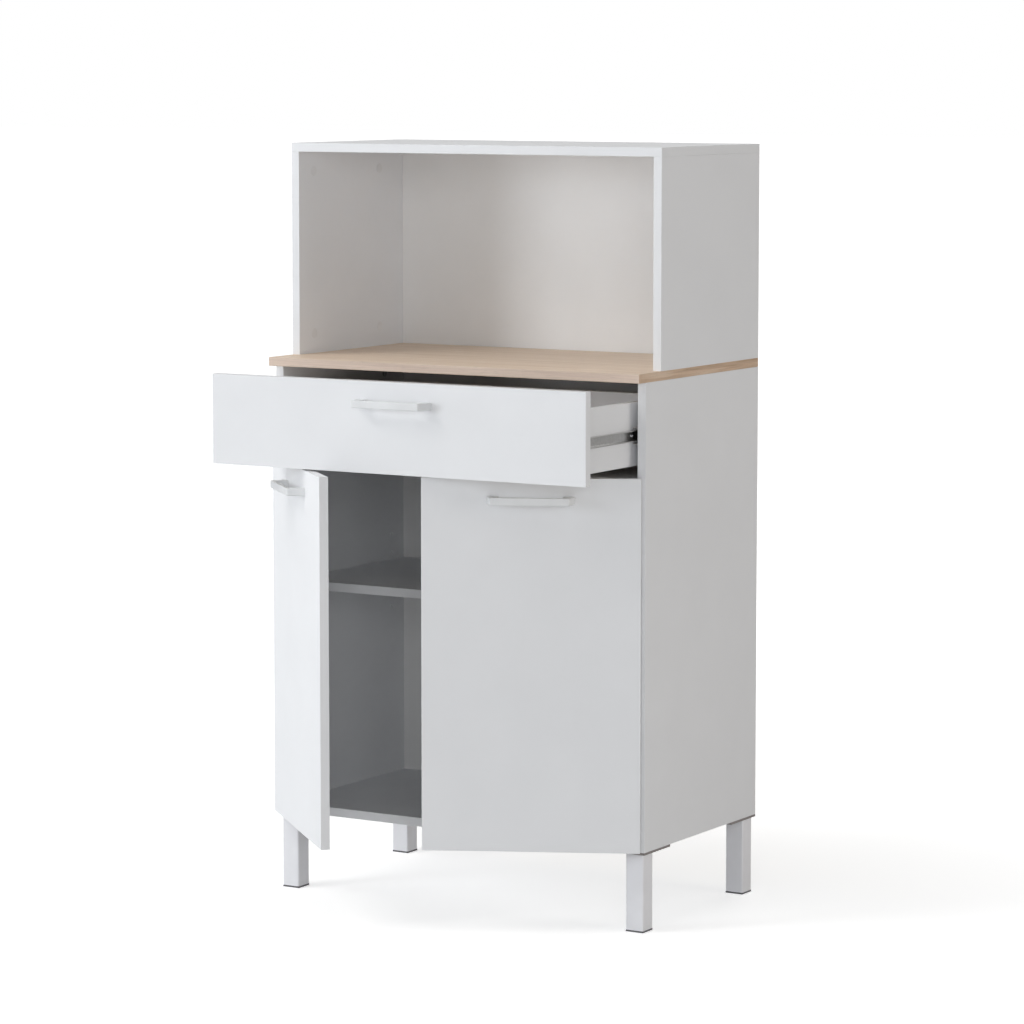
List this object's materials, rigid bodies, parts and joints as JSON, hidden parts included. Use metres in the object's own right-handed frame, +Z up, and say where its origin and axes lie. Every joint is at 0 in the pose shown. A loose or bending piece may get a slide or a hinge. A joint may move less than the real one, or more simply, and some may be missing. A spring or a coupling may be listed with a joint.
{
  "type": "kitchen cabinet",
  "caption": "Free-standing white kitchen cabinet on square legs, with two hinged doors, a drawer, an adjustable shelf, an oak-look worktop and an open niche above.",
  "frame": {"origin": "on the floor, midway across the width, and midway along the depth that the cabinet takes with its doors and drawer as far open as stored: 128 mm in front of the middle of the side panels", "axes": "+Z up, -Y out of the fronts, +X to the viewer's right when facing the doors"},
  "size_m": [0.7205, 0.6461, 1.278],
  "materials": {
    "white_melamine": "satin white melamine on particle board",
    "white_thin_board": "white-faced thin fibreboard",
    "oak_melamine": "light oak print, matt",
    "beech": "plain turned beech",
    "white_plastic": "satin",
    "white_paint": "satin powder coat",
    "grey_paint": "satin",
    "dark_rubber": "matt",
    "zinc_steel": "bright zinc plate"
  },
  "bodies": {
    "cabinet": {"left_side_panel": "white_melamine", "right_side_panel": "white_melamine", "bottom_panel": "white_melamine", "divider_panel": "white_melamine", "lower_back_panel": "white_thin_board", "shelf": "white_melamine", "shelf_pins": "zinc_steel", "worktop": "oak_melamine", "niche_left_side": "white_melamine", "niche_right_side": "white_melamine", "niche_top_panel": "white_melamine", "niche_back_panel": "white_thin_board", "back_panel_nails": "zinc_steel", "cam_bolts": "zinc_steel", "cam_locks": "zinc_steel", "cam_covers": "white_plastic", "wooden_dowels": "beech", "left_cabinet_slide": "zinc_steel", "right_cabinet_slide": "zinc_steel", "cabinet_slide_screws": "zinc_steel", "left_hinge_arms": "zinc_steel", "right_hinge_arms": "zinc_steel", "left_hinge_plates": "zinc_steel", "right_hinge_plates": "zinc_steel", "hinge_plate_screws": "zinc_steel", "front_left_leg": "white_paint", "front_right_leg": "white_paint", "rear_left_leg": "white_paint", "rear_right_leg": "white_paint", "leg_plates": "grey_paint", "leg_pads": "dark_rubber", "leg_plate_screws": "zinc_steel", "leg_studs": "zinc_steel"},
    "drawer": {"drawer_front": "white_melamine", "drawer_left_side": "white_melamine", "drawer_right_side": "white_melamine", "drawer_back": "white_melamine", "drawer_bottom": "white_thin_board", "drawer_handle": "white_paint", "drawer_handle_screws": "zinc_steel", "drawer_cams": "zinc_steel", "drawer_box_screws": "zinc_steel", "left_drawer_slide": "zinc_steel", "right_drawer_slide": "zinc_steel", "drawer_slide_screws": "zinc_steel"},
    "left_ball_cage": {"left_ball_cage": "zinc_steel"},
    "right_ball_cage": {"right_ball_cage": "zinc_steel"},
    "left_door": {"left_door": "white_melamine", "left_door_handle": "white_paint", "left_door_handle_screws": "zinc_steel", "left_hinge_cups": "zinc_steel", "left_hinge_pins": "zinc_steel", "left_cup_screws": "zinc_steel"},
    "right_door": {"right_door": "white_melamine", "right_door_handle": "white_paint", "right_door_handle_screws": "zinc_steel", "right_hinge_cups": "zinc_steel", "right_hinge_pins": "zinc_steel", "right_cup_screws": "zinc_steel"}
  },
  "joints": [
    {"name": "drawer_slide", "type": "slide", "parent": "cabinet", "child": "drawer", "axis": [0, -1, 0], "range_m": [-0.171, 0.085]},
    {"name": "left_cage_slide", "type": "slide", "parent": "cabinet", "child": "left_ball_cage", "axis": [0, -1, 0], "range_m": [-0.0856, 0.0426]},
    {"name": "right_cage_slide", "type": "slide", "parent": "cabinet", "child": "right_ball_cage", "axis": [0, -1, 0], "range_m": [-0.0856, 0.0426]},
    {"name": "left_door_hinge", "type": "hinge", "parent": "cabinet", "child": "left_door", "pos_m": [-0.3505, -0.079, 0.4415], "axis": [0, 0, -1], "range_deg": [-43.3, 51.7]},
    {"name": "right_door_hinge", "type": "hinge", "parent": "cabinet", "child": "right_door", "pos_m": [0.3505, -0.079, 0.4415], "axis": [0, 0, 1], "range_deg": [-26, 69]}
  ],
  "couplings": [
    {"joint": "left_cage_slide", "follows": "drawer_slide", "ratio": 0.5},
    {"joint": "right_cage_slide", "follows": "drawer_slide", "ratio": 0.5}
  ]
}
